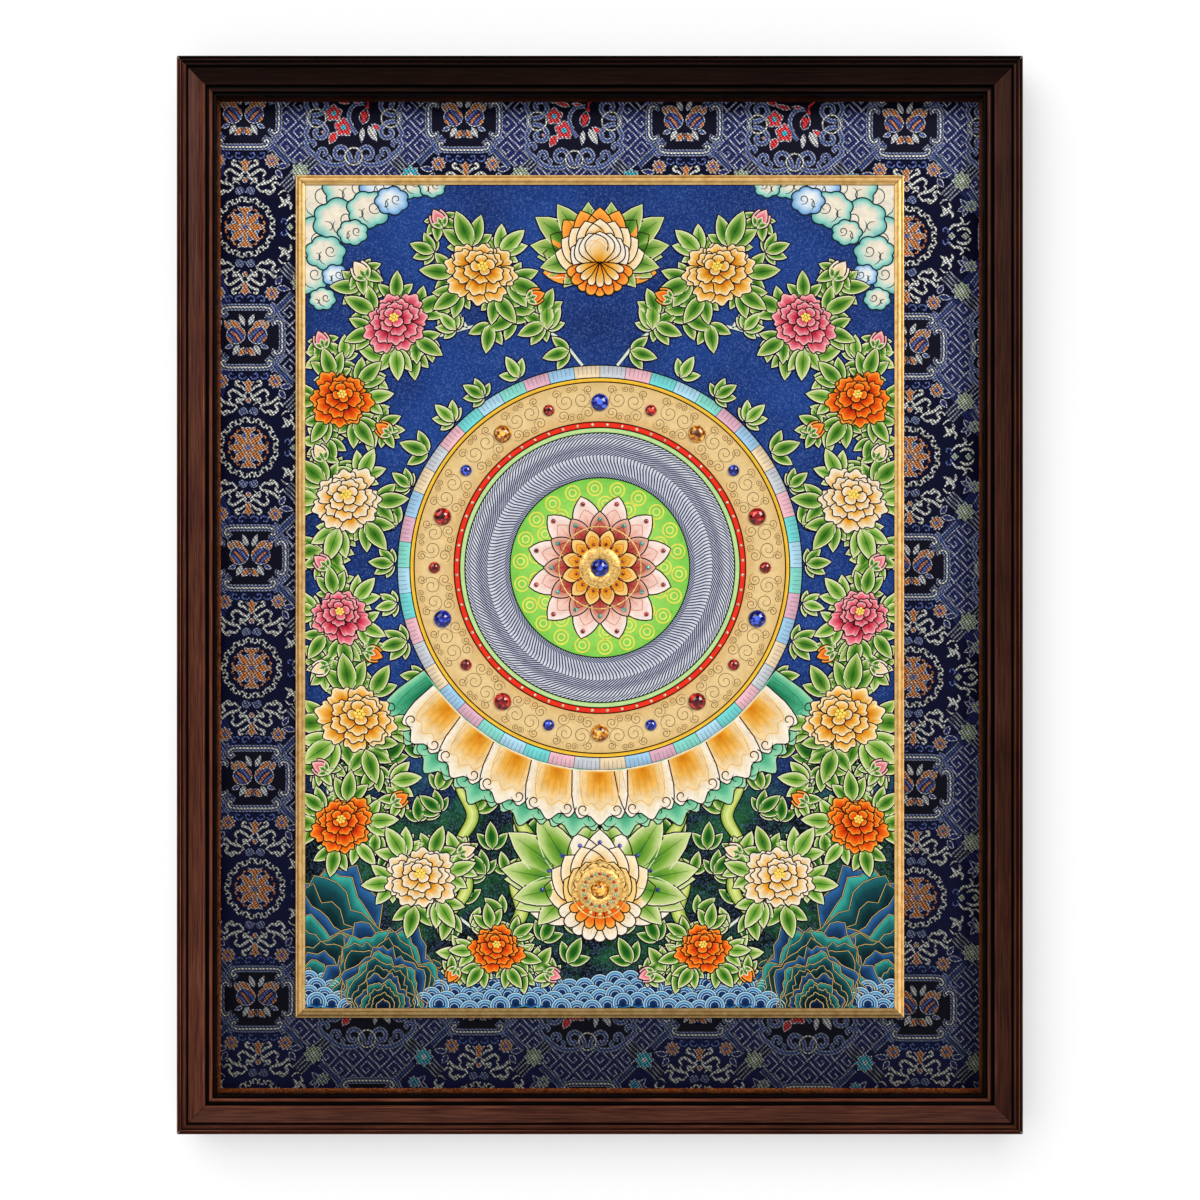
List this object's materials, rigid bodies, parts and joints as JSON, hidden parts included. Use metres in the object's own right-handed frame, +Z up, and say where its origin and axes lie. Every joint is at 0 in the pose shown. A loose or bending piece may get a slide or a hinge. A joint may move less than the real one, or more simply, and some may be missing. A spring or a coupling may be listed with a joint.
{
  "type": "thangka painting in a wooden frame",
  "caption": "Painted canvas with glued stones inside a gilt fillet, mounted on patterned brocade in a deep moulded wooden frame that hangs on a wall.",
  "frame": {"origin": "middle of the top rail's back, where it lies against the wall", "axes": "+Z up, +Y into the wall, so the picture faces -Y, +X to the viewer's right"},
  "size_m": [0.575, 0.034, 0.733],
  "materials": {
    "stained_wood": "dark red-brown stain under a satin lacquer",
    "spacer_wood": "red-brown lacquer",
    "gilt": "satin gilt",
    "brocade": "figured silk weave",
    "painted_canvas": "matt paint with gilt lines",
    "board": "raw fibreboard",
    "amber": "clear faceted",
    "red": "clear faceted",
    "blue": "clear faceted"
  },
  "bodies": {
    "root": {"rail_top": "stained_wood", "rail_right": "stained_wood", "rail_bottom": "stained_wood", "rail_left": "stained_wood", "spacer_top": "spacer_wood", "spacer_right": "spacer_wood", "spacer_bottom": "spacer_wood", "spacer_left": "spacer_wood", "backing_board": "board", "brocade": "brocade", "painting": "painted_canvas", "fillet_top": "gilt", "fillet_right": "gilt", "fillet_bottom": "gilt", "fillet_left": "gilt", "stone_ring_01": "blue", "stone_ring_02": "red", "stone_ring_03": "red", "stone_ring_04": "amber", "stone_ring_05": "amber", "stone_ring_06": "blue", "stone_ring_07": "blue", "stone_ring_08": "red", "stone_ring_09": "red", "stone_ring_10": "red", "stone_ring_11": "red", "stone_ring_12": "blue", "stone_ring_13": "blue", "stone_ring_14": "red", "stone_ring_15": "red", "stone_ring_16": "red", "stone_ring_17": "red", "stone_ring_18": "blue", "stone_ring_19": "blue", "stone_ring_20": "amber", "stone_wheel_middle": "blue", "stone_lower_lotus": "amber"}
  },
  "joints": []
}
